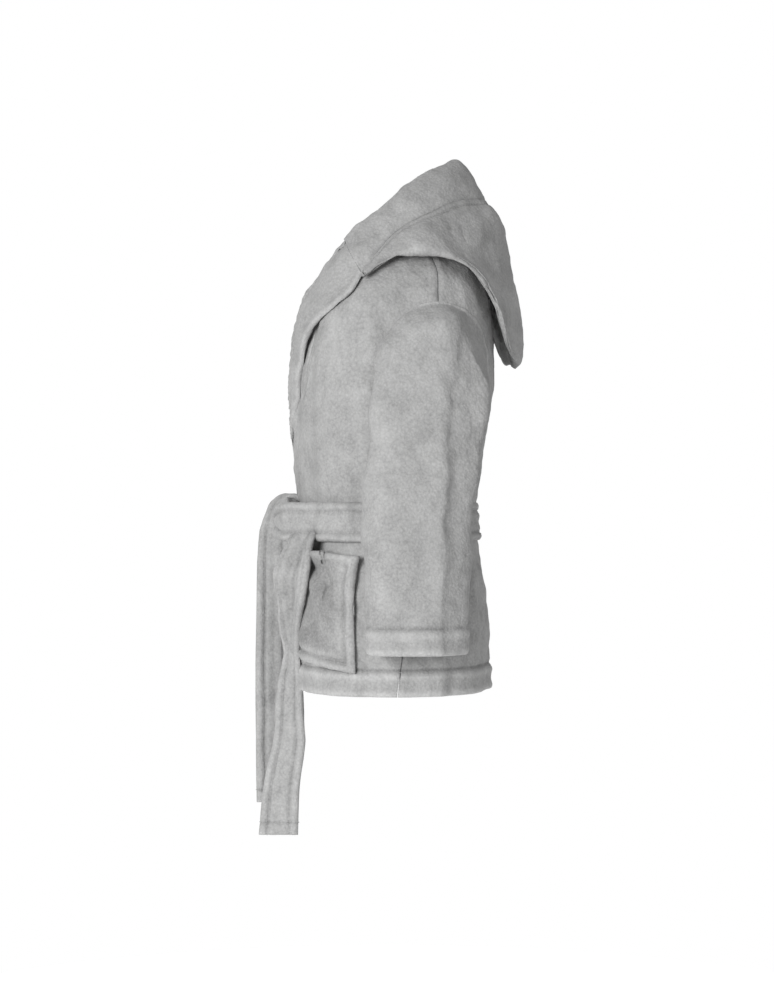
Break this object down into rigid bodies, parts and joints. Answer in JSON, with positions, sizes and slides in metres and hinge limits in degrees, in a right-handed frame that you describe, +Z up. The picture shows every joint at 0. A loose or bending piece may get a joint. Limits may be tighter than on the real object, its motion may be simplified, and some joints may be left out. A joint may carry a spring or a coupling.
{
  "type": "hooded bathrobe",
  "caption": "Short wrap-over plush robe with a hood worn down, rolled lapels, hemmed sleeves, patch pockets and a tied belt, shaped as worn.",
  "frame": {"origin": "on the shoulder line, over the middle of the neck opening", "axes": "+Z up, the front faces -Y, the wearer's left is +X"},
  "size_m": [0.38, 0.2574, 0.6335],
  "materials": {
    "plush": "short brushed pile, neutral grey",
    "tape": "flat woven tape, grey",
    "label": "smooth satin weave, off-white, blank"
  },
  "bodies": {
    "robe": {"back_panel": "plush", "front_left": "plush", "front_right": "plush", "front_band_left": "plush", "front_band_right": "plush", "pocket_left": "plush", "pocket_right": "plush", "belt_band": "plush", "belt_knot": "plush", "belt_loop_left": "plush", "belt_loop_right": "plush", "neck_tape": "tape", "size_label": "label"},
    "left_sleeve": {"sleeve_left": "plush"},
    "right_sleeve": {"sleeve_right": "plush"},
    "hood": {"hood_left": "plush", "hood_right": "plush", "hood_band": "plush"},
    "left_tail": {"belt_tail_left": "plush"},
    "right_tail": {"belt_tail_right": "plush"},
    "hanger": {"hanger_loop": "tape"}
  },
  "joints": [
    {"name": "sleeve_left_swing", "type": "hinge", "parent": "robe", "child": "left_sleeve", "pos_m": [0.131, 0.038, -0.118], "axis": [-1, 0, 0], "range_deg": [-20, 40], "deforming": ["sleeve_left"]},
    {"name": "sleeve_right_swing", "type": "hinge", "parent": "robe", "child": "right_sleeve", "pos_m": [-0.131, 0.038, -0.118], "axis": [-1, 0, 0], "range_deg": [-20, 40], "deforming": ["sleeve_right"]},
    {"name": "hood_lift", "type": "hinge", "parent": "robe", "child": "hood", "pos_m": [0, 0.062, 0.004], "axis": [1, 0, 0], "range_deg": [0, 45], "deforming": ["hood_left", "hood_right", "hood_band"]},
    {"name": "belt_tail_left_swing", "type": "hinge", "parent": "robe", "child": "left_tail", "pos_m": [0.045, -0.106, -0.288], "axis": [-1, 0, 0], "range_deg": [0, 60]},
    {"name": "belt_tail_right_swing", "type": "hinge", "parent": "robe", "child": "right_tail", "pos_m": [-0.018, -0.113, -0.288], "axis": [-1, 0, 0], "range_deg": [0, 60]},
    {"name": "hanger_loop_flip", "type": "hinge", "parent": "robe", "child": "hanger", "pos_m": [0, 0.053, -0.005], "axis": [-1, 0, 0], "range_deg": [0, 150]}
  ]
}
